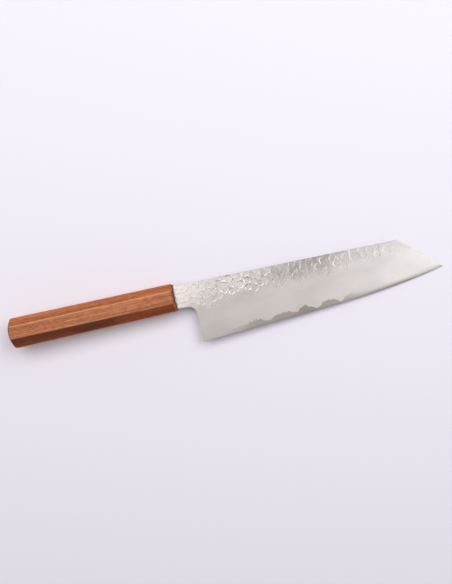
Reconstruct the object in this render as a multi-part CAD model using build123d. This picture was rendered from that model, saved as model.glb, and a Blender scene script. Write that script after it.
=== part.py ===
from build123d import *
import os
from math import ceil, cos, pi, radians, sqrt, tan
from random import Random

# A three-layer kitchen knife with a hammered face, a clipped tip and an octagonal wooden handle.
# It lies on its left face. +X runs from the butt of the handle to the tip, +Y from the cutting
# edge to the spine and +Z up through the blade. While the pieces are worked out, x = 0 is the
# front face of the handle, and y = z = 0 is the handle's axis.

# Handle: an octagon that widens towards the butt, with flats of constant width
handle_length = 146.2
front_height = 23.7
butt_height = 25.7
butt_thickness = 21.0
side_flat = 10.6
spine_flat = 8.8
front_chamfer = 1.8
butt_dome_radius = 22.0
butt_chamfer = 0.8

# Dowel and bore inside the handle
bore_diameter = 12.7
bore_end_clearance = 4.0
glue_line = 0.1
dowel_floor = 8.5
slot_side_clearance = 0.4
slot_end_clearance = 1.5

# Tang
tang_length = 98.0
tang_root_height = 9.5
tang_end_height = 6.0
tang_end_thickness = 2.2

# Blade outline
tip_x = 224.4
heel_x = 15.2
heel_drop = 41.9
edge_straight_rise = 11.6
edge_belly_rise = 7.3
edge_belly_power = 4.9
neck_top = 9.6
neck_bottom = 10.0
choil_fall = 0.9
choil_radius = 7.0
spine_fall_angle = 0.88
clip_corner_x = 191.8
clip_corner_radius = 3.0

# Blade thickness
neck_thickness = 3.0
corner_thickness = 1.5
distal_power = 1.6
bevel_crest_share = 0.93
edge_bevel_height = 0.7
edge_bevel_thickness = 0.3
core_share = 0.42

# Height of the core's wavy border over the edge
core_line_mean = 3.9
core_line_swing = 2.0
core_line_pitch = 20.9
core_line_end_height = 2.2

# Hammer marks
hammer_band_heel = 21.0
hammer_band_tip = 10.0
hammer_margin = 8.0
dent_radius = 4.2
dent_depth = 0.18
dent_spacing = 6.4
dent_jitter_share = 0.16
dent_size_shares = [0.88, 0.96, 1.04, 1.12]

# What every cut runs past the material
overrun = 2.0

spine_slope = tan(radians(spine_fall_angle))
edge_length = tip_x - heel_x
slot_depth = tang_length + slot_end_clearance
dowel_length = slot_depth + dowel_floor
bore_depth = dowel_length + bore_end_clearance


def spine_y(x):
    """Straight spine that falls slightly towards the tip."""
    return neck_top - x * spine_slope


def edge_y(x):
    """Cutting edge: a steady rise from the heel, and a belly that grows with a power of the way."""
    share = max(x - heel_x, 0) / edge_length
    return -heel_drop + edge_straight_rise * share + edge_belly_rise * share**edge_belly_power


def spine_thickness(x):
    """Thickness at the spine, thinning fast behind the neck and slowly towards the tip."""
    share = max(1 - x / clip_corner_x, 0)
    return corner_thickness + (neck_thickness - corner_thickness) * share**distal_power


def band_width(x):
    """Depth of the hammered band under the spine."""
    share = min(max(x / clip_corner_x, 0), 1)
    return hammer_band_heel + (hammer_band_tip - hammer_band_heel) * share


def core_line_height(x):
    """Height of the core's border over the edge: a wave that dies out towards both ends."""
    share = min(max((x - heel_x) / edge_length, 0), 1)
    fade = sqrt(4 * share * (1 - share))
    level = core_line_end_height + (core_line_mean - core_line_end_height) * fade
    return level + core_line_swing * fade * cos(2 * pi * x / core_line_pitch)


def blade_section(x, thickness_share):
    """One cross-section: edge, top of the edge bevel, crest of the wide bevel, and past the spine."""
    half = spine_thickness(x) / 2 * thickness_share
    crest = half * bevel_crest_share
    bevel = min(edge_bevel_thickness / 2, crest / 2)
    low = edge_y(x)
    right = [
        (low + edge_bevel_height, bevel),
        (spine_y(x) - band_width(x), crest),
        (spine_y(x) + overrun, half),
    ]
    left = [(y, -z) for y, z in reversed(right)]
    points = [(x, low, 0)] + [(x, y, z) for y, z in right + left]
    return make_face(Polyline(*points, close=True))


def blade_wedge(thickness_share):
    """Loft of the cross-sections from the neck to just past the tip."""
    station_shares = [0, 0.1, 0.25, 0.45, 0.65, 0.82, 0.93, 1]
    end = tip_x + overrun
    return loft([blade_section(share * end, thickness_share) for share in station_shares])


def blade_outline():
    """Neck, spine, clip and heel seen from the side; the edge side is left open past the edge."""
    corner = (clip_corner_x, spine_y(clip_corner_x))
    tip = (tip_x, edge_y(tip_x))
    choil = (heel_x, -neck_bottom - choil_fall)
    past_share = overrun / (tip_x - clip_corner_x)
    past_tip = tuple(t + (t - c) * past_share for t, c in zip(tip, corner))
    low = -heel_drop - overrun
    corners = [
        (0, -neck_bottom),
        choil,
        (heel_x, low),
        (past_tip[0], low),
        past_tip,
        corner,
        (0, neck_top),
    ]
    face = make_face(Polyline(*corners, close=True))
    face = fillet(face.vertices().sort_by_distance(choil)[0], choil_radius)
    return fillet(face.vertices().sort_by_distance(corner)[0], clip_corner_radius)


def through(face):
    """A side view carried through the whole thickness of the knife."""
    return extrude(face, butt_thickness / 2, both=True)


def below_core_line():
    """Everything on the edge side of the core's wavy border."""
    steps = 3 * ceil(edge_length / core_line_pitch)
    start, end = heel_x - overrun, tip_x + overrun
    stations = [start + (end - start) * n / steps for n in range(steps + 1)]
    wave = Spline(*[(x, edge_y(x) + core_line_height(x)) for x in stations])
    low = -heel_drop - overrun
    skirt = Polyline(wave @ 1, (end, low), (start, low), wave @ 0)
    return through(make_face([wave, skirt]))


def tang(thickness_share):
    """Tapered tongue behind the neck."""

    def section(x, height, thickness):
        return Plane.YZ.offset(x) * Rectangle(height, thickness * thickness_share)

    root = section(0, tang_root_height, neck_thickness * bevel_crest_share)
    end = section(-tang_length, tang_end_height, tang_end_thickness * bevel_crest_share)
    return loft([root, end])


def hammer_mark(radius):
    """The space one round hammer face sinks into the steel: a thin lens cut from a large ball."""
    ball = (radius**2 + dent_depth**2) / (2 * dent_depth)
    lift = dent_depth
    rim = sqrt(ball**2 - (ball - dent_depth - lift) ** 2)
    disc = extrude(Circle(rim), lift) + extrude(Circle(rim), -2 * dent_depth)
    return disc & (Pos(0, 0, ball - dent_depth) * Rot(X=90) * Sphere(ball))


def hammered(x, y):
    """Whether a mark at this place lies in the neck or the band under the spine."""
    if x < heel_x + dent_radius:
        return -neck_bottom - dent_radius < y
    return y > spine_y(x) - band_width(x) + dent_radius


def hammer_marks(seed):
    """Marks on a staggered grid, each pushed aside a little, from a few sizes of hammer face."""
    chance = Random(seed)
    faces = [hammer_mark(dent_radius * share) for share in dent_size_shares]
    row_pitch = dent_spacing * sqrt(3) / 2
    columns = int((clip_corner_x - hammer_margin) / dent_spacing)
    rows = int(band_width(0) / row_pitch) + 1
    marks = []
    for row in range(rows):
        for column in range(columns):
            push = [chance.uniform(-1, 1) * dent_jitter_share * dent_spacing for _ in range(2)]
            face = chance.choice(faces)
            x = dent_radius + (column + row % 2 / 2) * dent_spacing + push[0]
            y = spine_y(x) - dent_spacing / 2 - row * row_pitch + push[1]
            if hammered(x, y):
                marks.append(Pos(x, y, spine_thickness(x) / 2) * face)
    return marks


def blade_pieces():
    """Core and two claddings, cut from one wedge so that they share their faces."""
    outline = through(blade_outline())
    whole = blade_wedge(1) & outline
    inner = blade_wedge(core_share) & outline
    edge_zone = below_core_line()
    core = (whole & edge_zone) + (inner - edge_zone) + tang(core_share)
    skins = (whole - edge_zone - inner) + (tang(1) - tang(core_share))
    skins = sorted(skins.solids(), key=lambda solid: solid.center().Z)
    left, right = skins[0], skins[-1]
    right = right - hammer_marks(seed=5)
    left = mirror(mirror(left, Plane.XY) - hammer_marks(seed=11), Plane.XY)
    return core, right, left


def octagon(x, height, thickness):
    """Handle section: side flats face up and down, spine flats face the spine and the edge."""
    right = [
        (side_flat / 2, thickness / 2),
        (height / 2, spine_flat / 2),
        (height / 2, -spine_flat / 2),
        (side_flat / 2, -thickness / 2),
    ]
    left = [(-y, -z) for y, z in right]
    return make_face(Polyline(*[(x, y, z) for y, z in right + left], close=True))


def round_bar(start, end, diameter):
    """Cylinder on the handle's axis."""
    return extrude(Plane.YZ.offset(start) * Circle(diameter / 2), end - start)


def dome_envelope():
    """Everything in front of the ball that rounds the butt."""
    ball = Pos(butt_dome_radius - handle_length, 0, 0) * Sphere(butt_dome_radius)
    return ball + round_bar(butt_dome_radius - handle_length, overrun, 2 * butt_dome_radius)


def handle_block():
    """Tapered octagon, whose facets stay flat, with a domed butt and both ends chamfered."""
    facet_slope = (butt_thickness - spine_flat) / (butt_height - side_flat)
    front_thickness = butt_thickness - (butt_height - front_height) * facet_slope
    front = octagon(0, front_height, front_thickness)
    butt = octagon(-handle_length, butt_height, butt_thickness)
    block = loft([butt, front], ruled=True)
    block = block & dome_envelope()
    block = chamfer(block.faces().sort_by(Axis.X)[0].edges(), butt_chamfer)
    return chamfer(block.faces().sort_by(Axis.X)[-1].edges(), front_chamfer)


def slot():
    """Slot in the dowel, a little larger than the tang all round."""
    height = tang_root_height + 2 * slot_side_clearance
    thickness = neck_thickness + 2 * slot_side_clearance
    return extrude(Plane.YZ.offset(-slot_depth) * Rectangle(height, thickness), slot_depth)


def handle_pieces():
    """Handle with its bore, the slotted dowel in the bore, and the resin around the tang."""
    body = handle_block() - round_bar(-bore_depth, overrun, bore_diameter)
    dowel = round_bar(-dowel_length, 0, bore_diameter - 2 * glue_line) - slot()
    resin = slot() - tang(1)
    return body, dowel, resin


def main():
    core, right, left = blade_pieces()
    body, dowel, resin = handle_pieces()
    pieces = {
        "blade_core": core,
        "cladding_right": right,
        "cladding_left": left,
        "handle_body": body,
        "tang_dowel": dowel,
        "bedding_resin": resin,
    }
    box = Compound(children=[Part() + piece for piece in pieces.values()]).bounding_box()
    base = Pos(-box.center().X, -box.center().Y, -box.min.Z)
    os.makedirs("parts", exist_ok=True)
    for name, piece in pieces.items():
        export_step(base * piece, f"parts/{name}.step")


main()
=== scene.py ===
import math

import bmesh
import bpy
import numpy as np
from mathutils import Euler, Matrix, Vector


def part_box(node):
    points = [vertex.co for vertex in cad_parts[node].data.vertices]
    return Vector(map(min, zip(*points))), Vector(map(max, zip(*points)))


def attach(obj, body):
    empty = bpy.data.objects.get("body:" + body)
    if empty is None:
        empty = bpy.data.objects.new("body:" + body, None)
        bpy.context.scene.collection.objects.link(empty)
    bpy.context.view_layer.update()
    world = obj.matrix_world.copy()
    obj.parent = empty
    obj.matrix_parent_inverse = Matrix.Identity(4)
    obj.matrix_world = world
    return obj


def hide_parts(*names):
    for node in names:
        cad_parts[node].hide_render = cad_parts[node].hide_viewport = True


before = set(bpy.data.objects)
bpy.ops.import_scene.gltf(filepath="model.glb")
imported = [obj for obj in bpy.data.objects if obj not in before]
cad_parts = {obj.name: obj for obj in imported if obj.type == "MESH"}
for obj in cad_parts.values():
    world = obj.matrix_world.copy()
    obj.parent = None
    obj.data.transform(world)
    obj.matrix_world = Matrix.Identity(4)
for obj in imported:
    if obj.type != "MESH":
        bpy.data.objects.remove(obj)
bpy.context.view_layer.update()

# A three-layer kitchen knife that lies on its left face. Every size below is in millimetres, in
# the knife's own frame: x runs from the front of the handle to the tip, y from the cutting edge to
# the spine and z out of the right face, with the origin on the handle's axis. The CAD handle says
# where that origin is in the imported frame. A table holds pairs of a place along x and a value.
handle_low, handle_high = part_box("handle_body")
MM = 0.001
ORIGIN = np.array([
    handle_high[0],
    (handle_low[1] + handle_high[1]) / 2,
    (handle_low[2] + handle_high[2]) / 2,
])

# Points closer than this many metres are one
MERGE_DISTANCE = 2e-7
NO_LENGTH = 1e-8

# Blade outline, a hair inside the solids
TIP_X = 224.39
HEEL_X = 15.2
HEEL_DROP = 41.75
EDGE_STRAIGHT_RISE = 11.45
EDGE_BELLY_RISE = 7.3
EDGE_BELLY_POWER = 4.9
EDGE_LENGTH = TIP_X - HEEL_X
NECK_TOP = 9.6
NECK_BOTTOM = 10.0
CHOIL_FALL = 0.9
CHOIL_RADIUS = 7.0
CHOIL_POINTS = 40
SPINE_SLOPE = math.tan(math.radians(0.88))
CORNER_X = 191.8
CORNER_RADIUS = 3.0
CORNER_POINTS = 16
BORDER_POINTS = 2400
MEETING_GAP = [0.001, 0.005]

# Blade thickness: a power of the way to the clip's corner at the spine, and a ground face that
# bows out from a flat one by a share of that
NECK_THICKNESS = 3.0
CORNER_THICKNESS = 1.5
DISTAL_POWER = 1.6
GRIND_BOW = 0.13
EDGE_BEVEL_HEIGHT = 0.5
EDGE_BEVEL_THICKNESS = 0.1
CORE_SHARE = 0.42

# Swell of the ground face just above the edge, towards the point
SWELL_START = 130.0
SWELL_RUN = 50.0
SWELL_RISE = 8.0
SWELL_DEPTH = 0.3

# Both ends of the tang as place, height and thickness, and the share of the thickness that it
# keeps, a small step under the faces of the blade
TANG_ENDS = [(-98.0, 6.0, 2.2), (0.0, 9.5, NECK_THICKNESS)]
TANG_SHARE = 0.93

# Waves of uneven pitch as height, radians a millimetre, sway, and radians a millimetre of the sway.
# Those that fray the core's border are about 3.3 and 1.6 mm long, and those of the gloss 20 and 8.
FRAY_WAVES = [(1.0, 1.9, 1.7, 0.61), (0.5, 3.9, 2.1, 0.83)]
GLOSS_WAVES = [(2.5, 0.31, 1.2, 0.13), (1.5, 0.83, 0, 0)]

# Height of the core's border over the edge, read at its crests and troughs, and the share of it by
# which the border frays
BORDER_HEIGHTS = [
    (15.2, 2.6), (26, 3.4), (34, 2.9), (44, 4.0), (53, 4.2), (58.6, 5.3), (62.3, 6.0), (65.8, 5.5),
    (69.7, 3.3), (74.9, 2.5), (79.5, 5.2), (83.1, 5.3), (90.3, 5.5), (95.1, 3.25), (98.2, 2.9),
    (100.9, 5.1), (105.3, 6.6), (109.6, 4.1), (115.2, 1.3), (118.1, 2.5), (120.9, 4.8), (125, 5.5),
    (129.7, 4.8), (132.9, 3.2), (135.5, 0.9), (141.1, 4.1), (145.3, 5.2), (150.8, 3.5),
    (158, 3.2), (166, 3.5), (180, 3.4), (200, 2.8), (TIP_X, 1.4),
]
BORDER_FRAY = [(60, 0.13), (100, 0.07)]

# How strongly the etch shows on the bared core. Towards the tip it hands over to a painted shade
# along the edge, darkest at the edge and fading with the height above it.
ETCH_STRENGTH = [(30, 0), (50, 0.36), (62, 0.66), (92, 0.75), (102, 0.96), (113, 0.96), (120, 0.78)]
EDGE_SHADE_START = 134.0
EDGE_SHADE_RUN = 24.0
EDGE_SHADE_HEIGHT = 3.2
EDGE_SHADE_STRENGTH = 0.8
TIP_ETCH_RUN = 30.0

# Where the lines across the blade end along its spine: those from both ends of the choil's arc,
# from the heel's foot, and from two places on the edge over which they stand nearly upright
FAN_ENDS = [8.5, 20, 42, 96, CORNER_X - 2]
UPRIGHT_X = [90, CORNER_X - CORNER_RADIUS]

# Spacing of the lines across the blade
CLADDING_STEP = 0.34
CORE_STEP = 0.5

# Points up a cladding's line: steps near both its ends, rows over the ground face, and rows over
# the hammered band with a margin below it. The steps and the band take up at most a share of it.
BORDER_STEPS = np.array([0, 0.05, 0.13, 0.22, 0.32])
BORDER_STEPS_MOST = 0.1
GROUND_ROWS = 8
BAND_ROWS = 73
BAND_MARGIN = 5.0
BAND_MOST = 0.88

# Points up the bared core, as shares of its height over the small edge bevel, and the number of
# lines from where the core's border meets the clip to the tip
BARED_SHARES = np.array([0, 0.33, 0.66, 1])
TIP_LINES = 9

# Easing of the cladding's borders, which fades out where the blade is thin and begins this far
# above the heel's foot, and the least skin that is left over the core
SPINE_EASE = 0.3
EASE_THICKNESS = 1.2
SQUARE_HEEL = 6.0
LEAST_SKIN = 0.02

# Depth of the hammered band under the spine, and how far the marks stray past its lower border
BAND_HEEL = 21.0
BAND_TIP = 10.0
BAND_SPREAD = 3.0

# Pitch and depth of the hammer marks along the blade, and where the first and the last one stand
MARK_PITCHES = [(0, 3.2), (12, 4.4), (25, 5.6), (70, 5.7), (100, 6.0), (185, 5.8)]
MARK_DEPTHS = [(0, 0.06), (12, 0.07), (25, 0.1), (40, 0.165), (62, 0.18), (74, 0.125), (84, 0.068),
               (105, 0.062), (145, 0.062), (185, 0.035)]
FIRST_MARK_X = 1.5
LAST_MARK_X = 184.0

# Chance that a mark is struck, its most turn in radians, least and most share of the depth that it
# sinks, and the most slope of its floor, in full only from the tilted depth on
MARK_CHANCE = 0.9
MARK_TURN = 0.6
DEPTH_SHARES = (0.6, 1.25)
MARK_TILT = 0.012
TILTED_DEPTH = 0.1

# Shares of the pitch: spacing of columns and rows, place of the first row, push to a side, and
# half length and half width of the smallest and the largest mark
COLUMN_SHARE = 0.86
ROW_SHARE = 0.92
FIRST_ROW_SHARE = 0.35
PUSH_SHARE = 0.24
SMALLEST_HALVES = [0.44, 0.46]
LARGEST_HALVES = [0.62, 0.66]

# A mark's wall and the part of its half width that has to lie in the band, as shares of its half
# size, the bow of its floor as a share of its depth, and how far from its middle it is worked out
WALL_SHARE = 0.18
IN_BAND_SHARE = 0.35
FLOOR_BOW = 0.12
MARK_REACH = 9.0

# Marks fade over the core's border, and where the blade is thin
MARK_FADE = 3.0
MARK_FADE_THICKNESS = 0.5

# Gloss: its wandering border under the hammered band, what a mark alone gives, how it dies down
# towards the tip, and a paler tint on the glossy steel next to the handle, which is a painted highlight
GLOSS_MARGIN = 4.0
GLOSS_RUN = 13.0
MARK_GLOSS = 0.4
MARK_GLOSS_DEPTH = 0.08
DULL_START = 115.0
DULL_RUN = 50.0
DULL_SHARE = 0.8
PAINTED_HIGHLIGHT_START = 8.0
PAINTED_HIGHLIGHT_RUN = 28.0

# Handle, a hair inside the solid
HANDLE_LENGTH = 146.18
FRONT_HEIGHT = 23.68
BUTT_HEIGHT = 25.68
BUTT_THICKNESS = 20.98
SIDE_FLAT = 10.6
SPINE_FLAT = 8.8
ARRIS_EASE = 0.3
DOME_RADIUS = 22.0
RIM_EASE = 1.0
BORE_RADIUS = 6.35
BORE_DEPTH = 112.0

# Rings of the handle's front as pairs of the way behind the front face and the way inside the
# facets: those on the face and the start of its cut, dark as end grain with painted shade, on the
# rest of the cut, and beyond it
CUT_LENGTH = 1.8
CUT_DEPTH = 1.1
CUT_SLOPE = CUT_DEPTH / CUT_LENGTH
FACE_RINGS = [(0, CUT_DEPTH + 0.3), (0, CUT_DEPTH + 0.1), (0.06, CUT_DEPTH),
              (0.6, CUT_DEPTH - 0.6 * CUT_SLOPE)]
CUT_RINGS = [(0.7, CUT_DEPTH - 0.7 * CUT_SLOPE), (CUT_LENGTH - 0.15, 0.15 * CUT_SLOPE),
             (CUT_LENGTH, 0.03)]
SIDE_RINGS = [(CUT_LENGTH + 0.15, 0), (CUT_LENGTH + 0.5, 0)]

# Number of rings along the handle's side, around the butt's rim and across its dome
SIDE_COUNT = 29
RIM_COUNT = 6
DOME_COUNT = 11

# Points on each arris, and shares of a facet's width where its points lie, close at the arrises
ARRIS_POINTS = 4
FLAT_SHARES = np.concatenate([[0.015, 0.04], np.linspace(0.1, 0.9, 5), [0.96, 0.985]])

# Tone of the eight facets and its drift towards the butt. The first is the slanted facet that
# faces up and to the spine, the next ones follow round the underside, the seventh faces up and to
# the edge, and the last faces up. The last is lighter and paler as a painted sheen, and the
# seventh darker, partly as painted shade and partly from the wood's darker figure.
FACET_WOOD_AND_LIGHT_TONES = [0.53, 0.5, 0.6, 0.32, 0.5, 0.55, 0.29, 0.84]
FACET_DRIFTS = [0.09, 0, 0, 0, 0, 0, -0.06, 0.16]
DRIFT_RUN = 86.0

# Dark heart in the seventh facet: how far it reaches down from the upper arris, as a share of the
# facet's width, its tone, and the share over which its border is blurred
HEART_FACET = [0, 0, 0, 0, 0, 0, 1, 0]
HEART_DEPTHS = [(-146, 0.36), (-128, 0.42), (-104, 0.52), (-92, 0.62), (-80, 0.95), (-70, 0.85),
                (-61, 0.98), (-54, 0.5), (-46, 0.1), (-30, -0.1), (0, -0.1)]
HEART_TONE = -0.12
HEART_BLUR = 0.25

# Tones where the grain is cut across: the front face with its bore, dark as oiled end grain and
# as painted shade, the cut around it, and the butt
FACE_GRAIN_AND_SHADE_TONE = 0.0
CUT_TONE, CUT_TONE_SHARE = 0.7, -0.6
BUTT_TONE = 0.35

# Wear of each facet, with the arris before it, how much of that the points across it take, from
# the arris over the facet to the next one, and wear of the front. The first facet's, on the
# spine side, is highest, as a painted highlight on its arris over the wear.
FACET_WEAR_AND_HIGHLIGHT = [1.0, 0.5, 0.4, 0.4, 0.4, 0.4, 0.2, 0.1]
WEAR_AND_HIGHLIGHT_ACROSS = [1] * 5 + [0.5] + [0] * 5 + [0.5, 1]
FRONT_WEAR = 0.1

# The pale floor passes under the handle's front and this far under the middle of the tip, and
# between two distances from the knife it fades into an even glow of its own colour
PALE = "#F1ECF4"
TIP_REST = 0.3
FLOOR_REACH = 4000.0
FADE_START = 350.0
FADE_END = 1000.0

# Soft panels over the knife: name, middle in x and y, width and depth, level and colour
PANEL_Z = 1100.0
PANELS = [
    ("panel_left", (-600, 150), (1300, 300), 1.44, "#FFFFFF"),
    ("panel_left_end", (75, 150), (50, 300), 2.1, "#FFFFFF"),
    ("panel_middle_faint", (192, 150), (88, 300), 0.3, "#FFFFFF"),
    ("panel_middle", (310, 150), (148, 300), 1.05, "#FFFFFF"),
    ("panel_middle_front", (334, -150), (100, 300), 3.3, "#FFFFFF"),
    ("panel_right", (942, 50), (1116, 500), 3.05, "#F6FCFF"),
    ("panel_front", (-484, -155), (1532, 290), 1.04, "#FFFAFA"),
    ("panel_back_left", (-568, 700), (1364, 800), 2.5, "#FFFFFF"),
    ("panel_back_right", (892, 700), (1216, 800), 2.5, "#FFFFFF"),
]

# Camera: focal length and frame height in pixels, sensor and place in millimetres, its turns about
# x, y and z in degrees from a view straight down, found from the knife's own lines, and the
# nearest and farthest that it sees in metres
FOCAL_PIXELS = 1030
FRAME_PIXELS = 584
SENSOR = 36.0
CAMERA_PLACE = (88.77, -43.11, 867.95)
CAMERA_TURNS = (1.8034, 3.4982, -12.4679)
NEAREST, FARTHEST = 0.01, 50


def linear(text):
    """sRGB hex colour as linear red, green, blue and an alpha of one."""
    parts = [int(text[k:k + 2], 16) / 255 for k in (1, 3, 5)]
    return [c / 12.92 if c <= 0.04045 else ((c + 0.055) / 1.055) ** 2.4 for c in parts] + [1.0]


def add(tree, kind, sockets=(), stops=(), **settings):
    """Adds a node with its settings, and gives each socket a value or a link. A socket goes by its
    number, or by its name among those in use, and a node is linked by its first output in use. The
    stops of a colour ramp are pairs of place and colour, where a number is a grey factor."""
    made = tree.nodes.new(kind)
    for key, value in settings.items():
        setattr(made, key, value)
    for key, value in dict(sockets).items():
        named = [one for one in made.inputs if one.enabled and one.name == key]
        socket = named[0] if named else made.inputs[key]
        if isinstance(value, bpy.types.Node):
            value = next(one for one in value.outputs if one.enabled)
        if isinstance(value, bpy.types.NodeSocket):
            tree.links.new(value, socket)
        else:
            socket.default_value = value
    for _ in stops[2:]:
        made.color_ramp.elements.new(0.5)
    for n, (position, colour) in enumerate(stops):
        element = made.color_ramp.elements[n]
        element.position = position
        element.color = linear(colour) if isinstance(colour, str) else [colour] * 3 + [1]
    return made


def material(name):
    """New node material and its empty tree."""
    made = bpy.data.materials.new(name)
    made.use_nodes = True
    made.node_tree.nodes.clear()
    return made, made.node_tree


def scale_for(*sizes):
    """Scale at which a pattern's features have the given millimetres along x, y and z."""
    return [1 / (size * MM) for size in sizes]


def place(point):
    """Knife millimetres to scene metres."""
    return Vector(np.array(point) * MM + ORIGIN)


def read(table, x):
    """Value of a table at x, in straight runs between its pairs."""
    return np.interp(x, *np.array(table).T)


def smooth_step(t):
    """Zero to one with level ends: three times the square less twice the cube."""
    t = np.clip(t, 0, 1)
    return t * t * (3 - 2 * t)


def waves(table, x):
    """Sum of a table's sines at x, the phase of each swayed by a slower sine."""
    return sum(height * np.sin(turn * x + sway * np.sin(slow * x)) for height, turn, sway, slow in table)


def make_piece(name, grid, attributes, crease=30.0):
    """Mesh of a grid of points, loops by points by three, in knife millimetres.

    Each quad joins neighbours along and around, and the first and last loops get a cap. Points that
    coincide are merged, which closes poles and drops faces of no area, and the normals are then
    turned outwards. The crease is the angle in degrees past which an edge is sharp."""
    loops, around = grid.shape[:2]
    index = np.arange(loops * around).reshape(loops, around)
    a, b = index[:-1], index[1:]
    quads = np.stack([a, b, np.roll(b, -1, 1), np.roll(a, -1, 1)], -1).reshape(-1, 4)
    caps = [index[0].tolist(), index[-1][::-1].tolist()]
    mesh = bpy.data.meshes.new(name)
    points = grid.reshape(-1, 3) * MM + ORIGIN
    mesh.from_pydata(points.tolist(), [], quads.tolist() + caps)
    for key, values in attributes.items():
        made = mesh.attributes.new(key, "FLOAT", "POINT")
        made.data.foreach_set("value", values.astype(np.float32).ravel())
    shape = bmesh.new()
    shape.from_mesh(mesh)
    bmesh.ops.remove_doubles(shape, verts=shape.verts, dist=MERGE_DISTANCE)
    bmesh.ops.dissolve_degenerate(shape, edges=shape.edges, dist=NO_LENGTH)
    bmesh.ops.recalc_face_normals(shape, faces=shape.faces)
    shape.to_mesh(mesh)
    shape.free()
    mesh.shade_smooth()
    mesh.set_sharp_from_angle(angle=math.radians(crease))
    piece = bpy.data.objects.new(name, mesh)
    bpy.context.scene.collection.objects.link(piece)
    return piece


def mount_piece(piece, finish, node):
    """Gives a piece its finish and its body, and hides the CAD node that it stands for."""
    piece.data.materials.append(finish)
    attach(piece, "root")
    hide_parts(node)


# Outline and thickness of the blade
def spine_y(x):
    """Straight spine that falls slightly towards the tip."""
    return NECK_TOP - x * SPINE_SLOPE


def edge_y(x):
    """Cutting edge: a steady rise, and a belly that grows with a power of the way from the heel."""
    share = np.maximum(x - HEEL_X, 0) / EDGE_LENGTH
    return -HEEL_DROP + EDGE_STRAIGHT_RISE * share + EDGE_BELLY_RISE * share**EDGE_BELLY_POWER


def clip_y(x):
    """Straight clip line from the corner of the spine to the tip."""
    top, low = spine_y(CORNER_X), edge_y(TIP_X)
    return top + (low - top) * (x - CORNER_X) / (TIP_X - CORNER_X)


def spine_thickness(x):
    """Thickness at the spine: fast thinning behind the neck, slow towards the tip."""
    share = np.clip(1 - x / CORNER_X, 0, 1)
    return CORNER_THICKNESS + (NECK_THICKNESS - CORNER_THICKNESS) * share**DISTAL_POWER


def band_depth(x):
    """Depth of the hammered band under the spine."""
    return BAND_HEEL + (BAND_TIP - BAND_HEEL) * np.clip(x / CORNER_X, 0, 1)


def half_thickness(x, y):
    """Half the thickness of the smooth blade. The small edge bevel is a straight run in y, and the
    face above it a shallow parabola to the spine. Towards the point the face also swells above the
    edge: a parabola's rise, which then sinks back evenly up to the spine."""
    low = edge_y(x)
    bevel_top = low + EDGE_BEVEL_HEIGHT
    bevel = EDGE_BEVEL_THICKNESS / 2
    bevel_share = np.clip((y - low) / EDGE_BEVEL_HEIGHT, 0, 1)
    share = np.clip((y - bevel_top) / (spine_y(x) - bevel_top), 0, 1)
    bow = GRIND_BOW * share * (1 - share) * 4
    near = np.clip((y - low) / SWELL_RISE, 0, 1)
    swell = SWELL_DEPTH * smooth_step((x - SWELL_START) / SWELL_RUN) * near * (2 - near)
    face = (spine_thickness(x) / 2 - bevel) * (share + bow)
    return bevel * bevel_share + face + swell * (1 - share)


def border_height(x):
    """Core border over the edge: between two read heights half a straight run and half a smooth
    step, frayed by waves of uneven pitch, in proportion to the height and less towards the tip."""
    xs, heights = np.array(BORDER_HEIGHTS).T
    n = np.clip(np.searchsorted(xs, x, side="right") - 1, 0, len(xs) - 2)
    t = np.clip((x - xs[n]) / (xs[n + 1] - xs[n]), 0, 1)
    level = heights[n] + (heights[n + 1] - heights[n]) * (t + smooth_step(t)) / 2
    return level + read(BORDER_FRAY, x) * level * waves(FRAY_WAVES, x)


def rounded(before, corner, after, radius, count):
    """Arc that rounds a corner between two straight runs. Its centre lies on the line that halves
    the angle between them, at the radius over the sine of half that angle."""
    runs = [np.array(end) - corner for end in (before, after)]
    runs = [run / np.hypot(*run) for run in runs]
    middle = sum(runs) / np.hypot(*sum(runs))
    half_angle = math.acos(runs[0] @ middle)
    centre = corner + middle * radius / math.sin(half_angle)
    touches = [corner + run * radius / math.tan(half_angle) - centre for run in runs]
    angle = np.linspace(*[math.atan2(touch[1], touch[0]) for touch in touches], count)
    return centre + radius * np.stack([np.cos(angle), np.sin(angle)], -1)


def outline_paths():
    """Lower and upper border of a cladding, and the number of the heel's foot along the lower one.

    The lower path runs under the neck, round the choil, down the heel and along the core's border
    to the clip. The upper one runs along the spine, round the corner and down the clip, and ends a
    hair away from the lower one, so that the last line still has a direction."""
    neck_top, neck_bottom = [0, NECK_TOP], [0, -NECK_BOTTOM]
    choil = [HEEL_X, -NECK_BOTTOM - CHOIL_FALL]
    corner, tip = [CORNER_X, spine_y(CORNER_X)], [TIP_X, edge_y(TIP_X)]
    hollow = rounded(neck_bottom, choil, [HEEL_X, -HEEL_DROP], CHOIL_RADIUS, CHOIL_POINTS)
    bend = rounded(neck_top, corner, tip, CORNER_RADIUS, CORNER_POINTS)
    x = np.linspace(HEEL_X, TIP_X, BORDER_POINTS)
    border = edge_y(x) + border_height(x)
    end = np.argmax((border > clip_y(x)) & (x > CORNER_X))
    lower = np.concatenate([[neck_bottom], hollow, np.stack([x, border], -1)[:end]])
    upper = np.concatenate([[neck_top], bend, [lower[-1] + MEETING_GAP]])
    return lower, upper, 1 + len(hollow)


def ways(path):
    """Length along a path at each of its points."""
    return np.append(0, np.cumsum(np.hypot(*np.diff(path, axis=0).T)))


def points_along(path, lengths):
    """Points of a path at lengths along it."""
    return np.stack([np.interp(lengths, ways(path), path[:, k]) for k in (0, 1)], -1)


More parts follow.
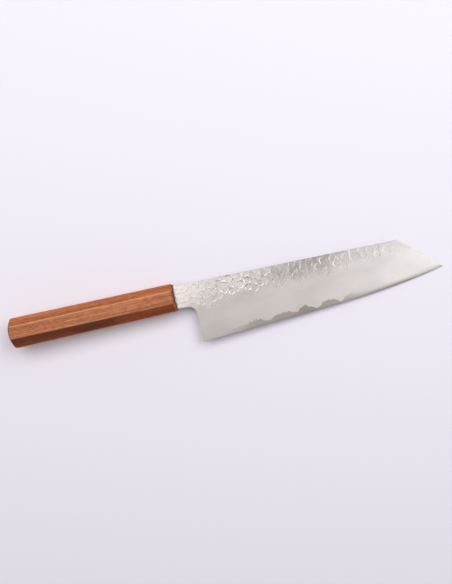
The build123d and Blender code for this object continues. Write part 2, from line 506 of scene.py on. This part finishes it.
def column_lines(step):
    """Lower and upper ends of the lines across the blade, and the number of the one at the foot.

    Lengths along the lower path are matched to lengths along the upper one at a few places, so
    that the lines fan out from the heel and stand nearly upright over the edge."""
    lower, upper, heel = outline_paths()
    way = ways(lower)
    upright = np.interp(UPRIGHT_X, lower[heel:, 0], way[heel:])
    starts = [0, way[1], way[heel - 1], way[heel], *upright, way[-1]]
    ends = [0, *FAN_ENDS, ways(upper)[-1]]
    behind = np.linspace(0, way[heel], int(way[heel] / step))
    ahead = np.linspace(way[heel], way[-1], int((way[-1] - way[heel]) / step))
    lengths = np.append(behind, ahead[1:])
    low = points_along(lower, lengths)
    up = points_along(upper, np.interp(lengths, starts, ends))
    return low, up, len(behind) - 1


# Hammer marks and the cladding
def mark_list(seed):
    """Hammer marks as rows of centre, half length, half width, turn, depth and two tilts.

    The marks stand in staggered rows under the spine, close together on the neck and wider on the
    blade, and each is pushed aside, sized, turned and tilted by chance."""
    chance = np.random.default_rng(seed)
    marks = []
    x = FIRST_MARK_X
    column = 0
    while x < LAST_MARK_X:
        pitch = read(MARK_PITCHES, x)
        depth = read(MARK_DEPTHS, x)
        row_pitch = pitch * ROW_SHARE
        for row in range(int(band_depth(x) / row_pitch) + 1):
            push = chance.uniform(-PUSH_SHARE, PUSH_SHARE, 2) * pitch
            half = pitch * chance.uniform(SMALLEST_HALVES, LARGEST_HALVES)
            cx = x + push[0]
            cy = spine_y(x) - (row + FIRST_ROW_SHARE + column % 2 / 2) * row_pitch + push[1]
            deep = depth * chance.uniform(*DEPTH_SHARES)
            tilt = chance.uniform(-1, 1, 2) * MARK_TILT * min(deep / TILTED_DEPTH, 1)
            band_bottom = spine_y(cx) - band_depth(cx) + chance.uniform(-BAND_SPREAD, BAND_SPREAD)
            inside = cy - IN_BAND_SHARE * half[1] > band_bottom
            if (inside or cx < HEEL_X) and chance.uniform() < MARK_CHANCE:
                turn = chance.uniform(-MARK_TURN, MARK_TURN)
                marks.append([cx, cy, *half, turn, deep, *tilt])
        x += pitch * COLUMN_SHARE
        column += 1
    return marks


def hammer_depth(x, y, marks):
    """How deep the marks sink each point: the deepest of the marks' dishes. A dish has an oval
    outline, a wall that falls in a smooth step just inside it, a faintly bowed floor and a slight
    tilt, and sinks nothing beyond its outline."""
    deepest = np.zeros_like(x)
    for cx, cy, half_length, half_width, turn, deep, tilt_x, tilt_y in marks:
        near = (np.abs(x - cx) < MARK_REACH) & (np.abs(y - cy) < MARK_REACH)
        dx, dy = x[near] - cx, y[near] - cy
        along = (dx * math.cos(turn) + dy * math.sin(turn)) / half_length
        across = (dy * math.cos(turn) - dx * math.sin(turn)) / half_width
        out = np.sqrt(along * along + across * across)
        wall = (1 - out) / WALL_SHARE
        dish = deep * smooth_step(wall) * (1 - FLOOR_BOW * out * out)
        dish = dish + (dx * tilt_x + dy * tilt_y) * np.clip(wall, 0, 1)
        deepest[near] = np.maximum(deepest[near], np.where(out < 1, dish, 0))
    return deepest


def rows_up(length, band):
    """Distances of a cladding's points up its lines: fine steps at both borders, where they are
    eased, wide ones over the ground face and fine ones again in the hammered band."""
    hammered = np.minimum(band + BAND_MARGIN, length * BAND_MOST)
    last = BORDER_STEPS[-1]
    squeeze = np.minimum(1, length * BORDER_STEPS_MOST / last)
    rows = np.concatenate([
        BORDER_STEPS * squeeze,
        last + (length - hammered - last) * np.linspace(0, 1, GROUND_ROWS + 1)[1:],
        length - hammered + (hammered - last) * np.linspace(0, 1, BAND_ROWS + 1)[1:],
        length - BORDER_STEPS[:-1][::-1] * squeeze,
    ], 1)
    return np.maximum.accumulate(np.minimum(rows, length), 1)


def eased(distance):
    """How far a quarter round of SPINE_EASE sinks the face, at a distance from its border."""
    inner = np.clip(SPINE_EASE - distance, 0, SPINE_EASE)
    return SPINE_EASE - np.sqrt(SPINE_EASE**2 - inner**2)


def gloss_and_painted_highlight(x, y, sink):
    """Gloss of the cladding's points, and the painted highlight of its glossy part next to the
    handle. The gloss rises in a smooth step across the band's lower border, which wanders in waves,
    or with the depth of a mark. It dies down towards the tip, and its part next to the handle is
    painted paler as a highlight."""
    over_band = y - spine_y(x) + band_depth(x) + GLOSS_MARGIN + waves(GLOSS_WAVES, x)
    gloss = smooth_step(over_band / GLOSS_RUN)
    gloss = np.maximum(gloss, MARK_GLOSS * np.clip(sink / MARK_GLOSS_DEPTH, 0, 1))
    gloss = gloss * (1 - DULL_SHARE * np.clip((x - DULL_START) / DULL_RUN, 0, 1))
    return gloss, gloss * (1 - np.clip((x - PAINTED_HIGHLIGHT_START) / PAINTED_HIGHLIGHT_RUN, 0, 1))


def cladding(name, side, seed):
    """Cladding of one face: loops around its section, carried from the tang's end to the tip.

    The outer wall of each loop climbs from the core's border to the spine, at the blade's half
    thickness less what the marks sink it, and the inner wall comes straight back along the core.
    Two loops for the ends of the tang come before the blade's."""
    low, up, foot = column_lines(CLADDING_STEP)
    span = up - low
    length = np.hypot(*span.T)[:, None]
    rows = rows_up(length, band_depth(up[:, :1]))
    x = low[:, :1] + span[:, :1] * rows / length
    y = low[:, 1:] + span[:, 1:] * rows / length
    plain = half_thickness(x, y)
    sink = hammer_depth(x, y, mark_list(seed))
    sink = sink * np.clip(rows / MARK_FADE, 0, 1) * np.clip(plain / MARK_FADE_THICKNESS, 0, 1)
    behind_heel = np.clip((low[:, 1:] - low[foot, 1]) / SQUARE_HEEL - 1, 0, 1)
    behind_heel[foot:] = 0
    ease = (eased(length - rows) + eased(rows) * behind_heel) * np.clip(plain / EASE_THICKNESS, 0, 1)
    z = np.maximum(plain - sink - ease, np.minimum(plain, CORE_SHARE * plain + LEAST_SKIN))
    inner = [np.column_stack([line, half_thickness(*line.T) * CORE_SHARE]) for line in (up, low)]
    blade = np.concatenate([np.stack([x, y, z], -1), np.stack(inner, 1)], 1)
    climb = (y[0] - low[0, 1]) / (up[0, 1] - low[0, 1]) - 0.5
    climb = np.append(climb, [0.5, -0.5])
    tang = []
    for at, height, thickness in TANG_ENDS:
        half = np.full(len(climb), thickness * TANG_SHARE / 2)
        half[-2:] *= CORE_SHARE
        tang.append(np.column_stack([np.full(len(climb), at), climb * height, half]))
    grid = np.concatenate([tang, blade]) * [1, 1, side]
    # The gloss, and a painted highlight on the glossy steel next to the handle
    gloss, painted_pale_highlight = (np.pad(values, ((2, 0), (0, 2))) for values in gloss_and_painted_highlight(x, y, sink))
    return make_piece(name, grid, {"gloss": gloss, "painted_pale_highlight": painted_pale_highlight})


# Core
def etch_and_edge_shade_strength(x, over):
    """Etch of the bared core at x and at a height over the edge: read along the blade, then handed
    over to a painted shade along the edge, which falls with the height, and dying out at the tip."""
    late = np.clip((x - EDGE_SHADE_START) / EDGE_SHADE_RUN, 0, 1)
    low = np.clip(1 - over / EDGE_SHADE_HEIGHT, 0, 1) * EDGE_SHADE_STRENGTH
    strength = read(ETCH_STRENGTH, x) * (1 - late) + late * low
    return strength * np.clip((TIP_X - x) / TIP_ETCH_RUN, 0, 1)


def core(name):
    """Core: loops around its section, carried from the tang's end to the tip.

    Each loop starts at the edge, climbs the bared band to the border, steps in to the core's own
    thickness, climbs to the spine, and comes down the other side as the mirror image. Under the
    neck and down the heel the band has no height, and its points coincide."""
    low, up, foot = column_lines(CORE_STEP)
    x = np.linspace(low[-1, 0], TIP_X, TIP_LINES + 1)[1:]
    clip = np.stack([x, clip_y(x)], -1)
    low = np.concatenate([low[:foot + 1], low[foot:], clip])
    up = np.concatenate([up[:foot + 1], up[foot:], clip])
    bared = np.arange(len(low)) > foot
    x, border = low.T
    edge = np.where(bared, edge_y(x), border)
    bevel = np.minimum(EDGE_BEVEL_HEIGHT, border - edge)
    inner_low = half_thickness(*low.T) * CORE_SHARE
    inner_up = half_thickness(*up.T) * CORE_SHARE
    inner_low[-len(clip):] = 0
    inner_up[-len(clip):] = 0
    band_y = (edge + bevel)[:, None] + (border - edge - bevel)[:, None] * BARED_SHARES
    band_z = np.where(bared[:, None], half_thickness(x[:, None], band_y), inner_low[:, None])
    ys = np.column_stack([edge, band_y, border, up[:, 1]])
    zs = np.column_stack([np.zeros(len(low)), band_z, inner_low, inner_up])
    xs = np.column_stack([x] * (ys.shape[1] - 1) + [up[:, 0]])
    right = np.stack([xs, ys, zs], -1)
    tang = []
    for at, height, thickness in TANG_ENDS:
        half = thickness * TANG_SHARE / 2 * CORE_SHARE
        bottom, top = [at, -height / 2, half], [at, height / 2, half]
        tang.append([[at, -height / 2, 0]] + [bottom] * (right.shape[1] - 2) + [top])
    right = np.concatenate([tang, right])
    grid = np.concatenate([right, right[:, :0:-1] * [1, 1, -1]], 1)
    # Etch, and towards the tip a painted shade along the edge
    etch_and_edge_shade = etch_and_edge_shade_strength(grid[..., 0], grid[..., 1] - edge_y(grid[..., 0]))
    return make_piece(name, grid, {"etch_and_edge_shade": etch_and_edge_shade})


# Handle
def handle_halves(x):
    """Half the handle's height and thickness, which grow evenly towards the butt. The slanted
    facets keep their slope, so that the thickness follows the height."""
    height = FRONT_HEIGHT - (BUTT_HEIGHT - FRONT_HEIGHT) * x / HANDLE_LENGTH
    slope = (BUTT_THICKNESS - SPINE_FLAT) / (BUTT_HEIGHT - SIDE_FLAT)
    return height / 2, (BUTT_THICKNESS - (BUTT_HEIGHT - height) * slope) / 2


def octagon(half_height, half_thick, inset):
    """Points around the handle's sections, in y and z, from arrays of their halves.

    Two arris arcs in the first quarter have their centres where the facets, moved in by the inset
    and the arris's radius, cross. They are mirrored down, and turned half round for the other
    side. The facets between them are straight runs, cut at FLAT_SHARES."""
    slant = math.atan2(BUTT_HEIGHT - SIDE_FLAT, BUTT_THICKNESS - SPINE_FLAT)
    a, b = math.cos(slant), math.sin(slant)
    inner = inset + ARRIS_EASE
    wide, high = half_height - inner, half_thick - inner
    reach = a * SIDE_FLAT / 2 + b * half_thick - inner
    centres = [((reach - b * high) / a, high), (wide, (reach - a * wide) / b)]
    turns = [(math.pi / 2, slant), (slant, 0)]
    bends = []
    for centre, (first, last) in zip(centres, turns):
        turn = np.linspace(first, last, ARRIS_POINTS)
        spokes = ARRIS_EASE * np.stack([np.cos(turn), np.sin(turn)], -1)
        bends.append(np.stack(centre, -1)[:, None] + spokes)
    bends += [bend[:, ::-1] * [1, -1] for bend in bends[::-1]]
    bends += [-bend for bend in bends]
    parts = []
    for bend, following in zip(bends, bends[1:] + bends[:1]):
        start, end = bend[:, -1:], following[:, :1]
        parts += [bend, start + (end - start) * FLAT_SHARES[:, None]]
    return np.concatenate(parts, 1)


def joined(x, yz):
    """Points from their x, one for all or one each, and their y and z."""
    return np.concatenate([np.broadcast_to(x, yz.shape[:-1])[..., None], yz], -1)


def dome_x(yz):
    """Place along x of the butt's dome, a ball of DOME_RADIUS, at each y and z."""
    return -HANDLE_LENGTH + DOME_RADIUS - np.sqrt(DOME_RADIUS**2 - (yz**2).sum(-1))


def facet_values(values):
    """A value for each point around the handle from one a facet. An arris has that of the facet
    before it."""
    return np.roll(np.repeat(values, ARRIS_POINTS + len(FLAT_SHARES)), ARRIS_POINTS)


def wood_and_painted_light_tone(x):
    """Tone of the handle's points from their x: the facet's, with the painted sheen of the top facet
    and the painted shade of the one facing the edge, which drifts towards the butt, and darker in
    the heart, whose border is blurred."""
    tone = facet_values(FACET_WOOD_AND_LIGHT_TONES) + facet_values(FACET_DRIFTS) * np.clip(-x / DRIFT_RUN, 0, 1)
    from_top = np.tile(np.pad(1 - FLAT_SHARES, (ARRIS_POINTS, 0)), len(FACET_WOOD_AND_LIGHT_TONES))
    heart = np.clip((read(HEART_DEPTHS, x) - from_top) / HEART_BLUR + 0.5, 0, 1)
    return tone + HEART_TONE * facet_values(HEART_FACET) * heart


def handle(name):
    """Handle: rings from the end of the bore to its mouth, over the front face and the cut around
    it, back along the side, round the rim in a parabola and across the dome to its middle."""
    butt = octagon(*handle_halves(np.array([-HANDLE_LENGTH])), 0)[0]
    around = np.arctan2(butt[:, 1], butt[:, 0])
    mouth = joined(0, BORE_RADIUS * np.stack([np.cos(around), np.sin(around)], -1))
    bottom = mouth - [BORE_DEPTH, 0, 0]
    bore = [bottom * [1, 0, 0], bottom, mouth]
    behind, inset = np.array(FACE_RINGS + CUT_RINGS + SIDE_RINGS).T
    front = joined(-behind[:, None], octagon(*handle_halves(-behind), inset))
    every = np.arange(len(butt))
    rim = octagon(*handle_halves(dome_x(butt)), 0)[every, every]
    landing = rim * (1 - RIM_EASE / np.hypot(*rim.T)[:, None])
    start = joined(dome_x(rim) + RIM_EASE, rim)
    corner = joined(dome_x(rim), rim)
    end = joined(dome_x(landing), landing)
    share = np.linspace(0, 1, SIDE_COUNT + 1)[1:, None, None]
    side = front[-1] + (start - front[-1]) * share
    t = np.linspace(0, 1, RIM_COUNT + 1)[1:, None, None]
    rounding = start * (1 - t)**2 + corner * 2 * t * (1 - t) + end * t * t
    dome = landing * np.linspace(1, 0, DOME_COUNT + 1)[1:, None, None]
    grid = np.concatenate([bore, front, side, rounding, joined(dome_x(dome), dome)])
    face_end = len(bore) + len(FACE_RINGS)
    cut_end = face_end + len(CUT_RINGS)
    butt_start = len(grid) - DOME_COUNT - RIM_COUNT // 2
    tone = wood_and_painted_light_tone(grid[..., 0])
    # The front face and the start of its cut: dark end grain with painted shade
    tone[:face_end] = FACE_GRAIN_AND_SHADE_TONE
    tone[face_end:cut_end] = CUT_TONE + CUT_TONE_SHARE * tone[face_end:cut_end]
    tone[butt_start:] = BUTT_TONE
    # Paleness from wear, with a painted highlight on the spine-side arris
    wear_and_highlight = np.tile(np.outer(FACET_WEAR_AND_HIGHLIGHT, WEAR_AND_HIGHLIGHT_ACROSS).ravel(), (len(grid), 1))
    wear_and_highlight[:cut_end - 1] = FRONT_WEAR
    wear_and_highlight[butt_start - 1:] = 0
    return make_piece(name, grid, {"tone": tone, "wear_and_highlight": wear_and_highlight}, crease=50)


# Finishes
def hammered_cladding():
    """Stainless steel, hammered, polished and ground on a belt. The belt leaves a satin face with
    faint clouds, its lines running along the blade. The hammered part above keeps a glossier skin
    with hardly a line, and next to the handle it is painted paler as a highlight."""
    made, tree = material("stainless_cladding_hammered_and_belt_ground")
    here = add(tree, "ShaderNodeTexCoord").outputs["Object"]
    gloss = add(tree, "ShaderNodeAttribute", attribute_name="gloss").outputs["Fac"]
    painted_pale_highlight = add(tree, "ShaderNodeAttribute", attribute_name="painted_pale_highlight").outputs["Fac"]
    # Clouds about 33 mm long and 17 mm wide, from the uneven press of the belt
    cloud_at = add(tree, "ShaderNodeMapping", {"Vector": here, "Scale": scale_for(33.33, 16.67, 33.33)})
    clouds = add(tree, "ShaderNodeTexNoise", {"Vector": cloud_at, "Scale": 1.0, "Detail": 2.0})
    satin = add(tree, "ShaderNodeValToRGB", {"Fac": clouds}, stops=[(0.32, "#AFAAA7"), (0.68, "#BBB6B3")])
    # Paler next to the handle: a painted highlight
    tint = add(tree, "ShaderNodeMix", {"Factor": painted_pale_highlight, "A": satin, "B": linear("#CCC5BF")},
               data_type="RGBA")
    # The belt's scratches, a few hundredths wide, are too fine to show: these are 50 by 0.33 mm
    line_at = add(tree, "ShaderNodeMapping", {"Vector": here, "Scale": scale_for(50, 1 / 3, 50)})
    lines = add(tree, "ShaderNodeTexNoise", {"Vector": line_at, "Scale": 1.0, "Detail": 4.0,
                                             "Roughness": 0.6})
    rough = add(tree, "ShaderNodeMapRange", {"Value": gloss, "From Min": 0.0, "From Max": 1.0,
                                             "To Min": 0.28, "To Max": 0.18})
    depth = add(tree, "ShaderNodeMapRange", {"Value": gloss, "From Min": 0.0, "From Max": 0.6,
                                             "To Min": 0.7, "To Max": 0.12})
    bump = add(tree, "ShaderNodeBump", {"Height": lines, "Strength": depth, "Distance": 0.06 * MM})
    shader = add(tree, "ShaderNodeBsdfPrincipled", {"Base Color": tint, "Metallic": 1.0,
                                                    "Roughness": rough, "Normal": bump})
    add(tree, "ShaderNodeOutputMaterial", {"Surface": shader})
    return made


def etched_core():
    """Carbon steel, finished on a stone and lightly etched. The stone leaves lines along the
    blade, and the etch a darker, browner and flatter grey, where it took. Towards the tip the same
    grey is painted along the edge as shade."""
    made, tree = material("carbon_core_stone_finished_and_etched")
    here = add(tree, "ShaderNodeTexCoord").outputs["Object"]
    etch_and_edge_shade = add(tree, "ShaderNodeAttribute", attribute_name="etch_and_edge_shade").outputs["Fac"]
    # The stone's scratches are too fine to show: these are 50 mm long and 0.33 mm wide
    line_at = add(tree, "ShaderNodeMapping", {"Vector": here, "Scale": scale_for(50, 1 / 3, 50)})
    lines = add(tree, "ShaderNodeTexNoise", {"Vector": line_at, "Scale": 1.0, "Detail": 4.0,
                                             "Roughness": 0.6})
    dark = add(tree, "ShaderNodeValToRGB", {"Fac": lines}, stops=[(0.3, "#817973"), (0.7, "#8C847D")])
    # Darker where etched, and towards the tip along the edge as painted shade
    tint = add(tree, "ShaderNodeMix", {"Factor": etch_and_edge_shade, "A": linear("#B5AEAB"), "B": dark},
               data_type="RGBA")
    bump = add(tree, "ShaderNodeBump", {"Height": lines, "Strength": 0.7, "Distance": 0.06 * MM})
    shader = add(tree, "ShaderNodeBsdfPrincipled", {"Base Color": tint, "Metallic": 1.0,
                                                    "Roughness": 0.3, "Normal": bump})
    add(tree, "ShaderNodeOutputMaterial", {"Surface": shader})
    return made


def oiled_wood():
    """Walnut, sawn and planed along the grain, and oiled. The oil gives a warm reddish brown with
    little gloss. Each facet has its own tone, which paints a sheen on the top facet and shade on the
    one facing the edge, and the arrises, rubbed by handling, are paler, the one on the spine side
    brightest as a painted highlight."""
    made, tree = material("oiled_walnut_sawn_along_the_grain")
    here = add(tree, "ShaderNodeTexCoord").outputs["Object"]
    tone = add(tree, "ShaderNodeAttribute", attribute_name="tone").outputs["Fac"]
    wear_and_highlight = add(tree, "ShaderNodeAttribute", attribute_name="wear_and_highlight").outputs["Fac"]
    # Bands of figure, 111 mm long and 2.9 mm wide, at a slight angle to the handle
    figure_at = add(tree, "ShaderNodeMapping", {
        "Vector": here, "Location": (1.4, 0, 0), "Rotation": (0, 0, 0.03),
        "Scale": scale_for(111.1, 2.94, 2.94)})
    figure = add(tree, "ShaderNodeTexNoise", {"Vector": figure_at, "Scale": 1.0, "Detail": 4.0,
                                              "Roughness": 0.65})
    colour = add(tree, "ShaderNodeValToRGB", {"Fac": figure}, stops=[
        (0.34, "#9C5F3B"), (0.45, "#B06A44"), (0.56, "#C0774E"), (0.7, "#C87F56")])
    # Ring lines, 14 mm long and 0.9 mm wide
    line_at = add(tree, "ShaderNodeMapping", {"Vector": here, "Scale": scale_for(14.29, 0.909, 0.909)})
    lines = add(tree, "ShaderNodeTexNoise", {"Vector": line_at, "Scale": 1.0, "Detail": 5.0,
                                             "Roughness": 0.75})
    line_tint = add(tree, "ShaderNodeValToRGB", {"Fac": lines}, stops=[
        (0.34, 0.6), (0.5, 0.96), (0.64, 1.12)])
    # Walnut's pores are 0.1 to 0.2 mm wide, too fine to show: these are 3.6 mm long and 1 mm wide
    pore_at = add(tree, "ShaderNodeMapping", {"Vector": here, "Scale": scale_for(3.571, 1, 1)})
    pores = add(tree, "ShaderNodeTexNoise", {"Vector": pore_at, "Scale": 1.0, "Detail": 2.0})
    pore_tint = add(tree, "ShaderNodeValToRGB", {"Fac": pores}, stops=[
        (0.34, 0.77), (0.5, 1.0), (0.64, 1.12)])
    # Tint from the tone: the near-white tint of the top facet is a painted sheen, and the dark tints of
    # the facet facing the edge and of the front face are partly painted shade
    facet_tint = add(tree, "ShaderNodeValToRGB", {"Fac": tone}, stops=[
        (0.0, "#5A5450"), (0.12, "#8B6E47"), (0.28, "#BC945E"), (0.45, "#DBC4A2"),
        (0.6, "#FCEFD5"), (0.8, "#F4F1EE"), (1.0, "#FFFFFF")])
    for layer in (line_tint, pore_tint, facet_tint):
        colour = add(tree, "ShaderNodeMix", {"Factor": 1.0, "A": colour, "B": layer},
                     data_type="RGBA", blend_type="MULTIPLY")
    # Paler where rubbed, and brightest on the spine-side arris as a painted highlight
    broken = add(tree, "ShaderNodeMath", {0: wear_and_highlight, 1: lines}, operation="MULTIPLY")
    colour = add(tree, "ShaderNodeMix", {"Factor": broken, "A": colour, "B": linear("#E8B48C")},
                 data_type="RGBA")
    bump = add(tree, "ShaderNodeBump", {"Height": lines, "Strength": 0.35, "Distance": 0.05 * MM})
    shader = add(tree, "ShaderNodeBsdfPrincipled", {
        "Base Color": colour, "Roughness": 0.5, "Specular IOR Level": 0.25, "Normal": bump})
    add(tree, "ShaderNodeOutputMaterial", {"Surface": shader})
    return made


def raw_dowel():
    """Beech, turned to a dowel and left raw: pale and matt, with short darker flecks along it."""
    made, tree = material("turned_beech_left_raw")
    here = add(tree, "ShaderNodeTexCoord").outputs["Object"]
    # Beech flecks are 1 to 3 mm long and hair thin: these are 3.3 mm by 0.5 mm, so that they show
    fleck_at = add(tree, "ShaderNodeMapping", {"Vector": here, "Scale": scale_for(3.333, 0.5, 0.5)})
    flecks = add(tree, "ShaderNodeTexNoise", {"Vector": fleck_at, "Scale": 1.0, "Detail": 3.0})
    tint = add(tree, "ShaderNodeValToRGB", {"Fac": flecks}, stops=[(0.35, "#8C6844"), (0.65, "#B08A60")])
    shader = add(tree, "ShaderNodeBsdfPrincipled", {"Base Color": tint, "Roughness": 0.7})
    add(tree, "ShaderNodeOutputMaterial", {"Surface": shader})
    return made


def cured_resin():
    """Epoxy with wood dust, poured around the tang and left as it set: dark, smooth and slightly
    glossy."""
    made, tree = material("cured_epoxy_dark")
    here = add(tree, "ShaderNodeTexCoord").outputs["Object"]
    # Clouds of dust, 1.25 mm across
    cloud_at = add(tree, "ShaderNodeMapping", {"Vector": here, "Scale": scale_for(1.25, 1.25, 1.25)})
    clouds = add(tree, "ShaderNodeTexNoise", {"Vector": cloud_at, "Scale": 1.0, "Detail": 2.0})
    tint = add(tree, "ShaderNodeValToRGB", {"Fac": clouds}, stops=[(0.3, "#2E2019"), (0.7, "#3D2C22")])
    shader = add(tree, "ShaderNodeBsdfPrincipled", {"Base Color": tint, "Roughness": 0.3})
    add(tree, "ShaderNodeOutputMaterial", {"Surface": shader})
    return made


# Pieces
steel, core_steel, wood = hammered_cladding(), etched_core(), oiled_wood()
mount_piece(cladding("cladding_right_face", 1, 5), steel, "cladding_right")
mount_piece(cladding("cladding_left_face", -1, 11), steel, "cladding_left")
mount_piece(core("core_with_edge"), core_steel, "blade_core")
mount_piece(handle("octagonal_handle"), wood, "handle_body")
for node, finish in (("tang_dowel", raw_dowel()), ("bedding_resin", cured_resin())):
    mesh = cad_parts[node].data
    mesh.materials.clear()
    mesh.materials.append(finish)


# Floor, light and camera
def seen_or_mirrored(tree):
    """One for rays from the camera, a gloss or a glass, which show the pale background."""
    path = add(tree, "ShaderNodeLightPath").outputs
    seen = add(tree, "ShaderNodeMath", {0: path["Is Camera Ray"], 1: path["Is Glossy Ray"]},
               operation="MAXIMUM")
    return add(tree, "ShaderNodeMath", {0: seen, 1: path["Is Transmission Ray"]}, operation="MAXIMUM")


def pale_floor():
    """Floor of pale matt paint, which far from the knife shows as an even glow of its colour."""
    made, tree = material("pale_matt_floor")
    here = add(tree, "ShaderNodeTexCoord").outputs["Object"]
    away = add(tree, "ShaderNodeVectorMath", {"Vector": here}, operation="LENGTH")
    far = add(tree, "ShaderNodeMapRange", {"Value": away, "From Min": FADE_START * MM,
                                           "From Max": FADE_END * MM})
    shown = add(tree, "ShaderNodeMath", {0: far, 1: seen_or_mirrored(tree)}, operation="MULTIPLY")
    paint = add(tree, "ShaderNodeBsdfPrincipled", {"Base Color": linear(PALE), "Roughness": 0.9})
    glow = add(tree, "ShaderNodeEmission", {"Color": linear(PALE), "Strength": 1.0})
    mixed = add(tree, "ShaderNodeMixShader", {"Fac": shown, 1: paint, 2: glow})
    add(tree, "ShaderNodeOutputMaterial", {"Surface": mixed})
    return made


def floor():
    """Level plane but for its rise in x: the line through the underside of the handle's front and
    the point just under the tip, on both of which such a knife rests."""
    front_z = -handle_halves(0)[1]
    rise = (-TIP_REST - front_z) / (TIP_X + CUT_LENGTH)
    square = [(-1, -1), (1, -1), (1, 1), (-1, 1)]
    corners = [(x * FLOOR_REACH, y * FLOOR_REACH, front_z + (x * FLOOR_REACH + CUT_LENGTH) * rise)
               for x, y in square]
    mesh = bpy.data.meshes.new("floor")
    mesh.from_pydata([place(corner) for corner in corners], [], [(0, 1, 2, 3)])
    mesh.materials.append(pale_floor())
    made = bpy.data.objects.new("floor", mesh)
    bpy.context.scene.collection.objects.link(made)


def soft_light(name, middle, size, level, colour):
    """Rectangular soft light that faces straight down. Its level is the brightness that a mirror
    would show, and its power is that times pi times its area."""
    data = bpy.data.lights.new(name, "AREA")
    data.shape = "RECTANGLE"
    data.size, data.size_y = (side * MM for side in size)
    data.energy = level * math.pi * data.size * data.size_y
    data.color = linear(colour)[:3]
    made = bpy.data.objects.new(name, data)
    made.location = place((*middle, PANEL_Z))
    bpy.context.scene.collection.objects.link(made)


def camera():
    """Camera at the photograph's place and angle. Its focal length, in heights of the sensor, is
    the photograph's in heights of the frame."""
    data = bpy.data.cameras.new("camera")
    data.sensor_fit = "VERTICAL"
    data.sensor_height = SENSOR
    data.sensor_width = SENSOR
    data.lens = SENSOR * FOCAL_PIXELS / FRAME_PIXELS
    data.clip_start, data.clip_end = NEAREST, FARTHEST
    made = bpy.data.objects.new("camera", data)
    turn = Euler([math.radians(angle) for angle in CAMERA_TURNS]).to_matrix().to_4x4()
    made.matrix_world = Matrix.Translation(place(CAMERA_PLACE)) @ turn
    bpy.context.scene.collection.objects.link(made)
    bpy.context.scene.camera = made


def studio_world():
    """Pale surroundings that dim with height: one way for the light they give, and another for
    what is seen or mirrored of them."""
    made = bpy.data.worlds.new("studio")
    made.use_nodes = True
    tree = made.node_tree
    tree.nodes.clear()
    way = add(tree, "ShaderNodeTexCoord").outputs["Generated"]
    height = add(tree, "ShaderNodeSeparateXYZ", {"Vector": way}).outputs["Z"]
    lit = add(tree, "ShaderNodeMapRange", {"Value": height, "From Min": 0.1, "From Max": 0.7,
                                           "To Min": 0.65, "To Max": 0.15})
    shown = add(tree, "ShaderNodeMapRange", {"Value": height, "From Min": 0.45, "From Max": 0.85,
                                             "To Min": 1.0, "To Max": 0.15})
    level = add(tree, "ShaderNodeMix", {"Factor": seen_or_mirrored(tree), "A": lit, "B": shown})
    sky = add(tree, "ShaderNodeBackground", {"Color": linear(PALE), "Strength": level})
    add(tree, "ShaderNodeOutputWorld", {"Surface": sky})
    bpy.context.scene.world = made


floor()
for panel in PANELS:
    soft_light(*panel)
camera()
studio_world()
bpy.context.scene.view_settings.view_transform = "Standard"
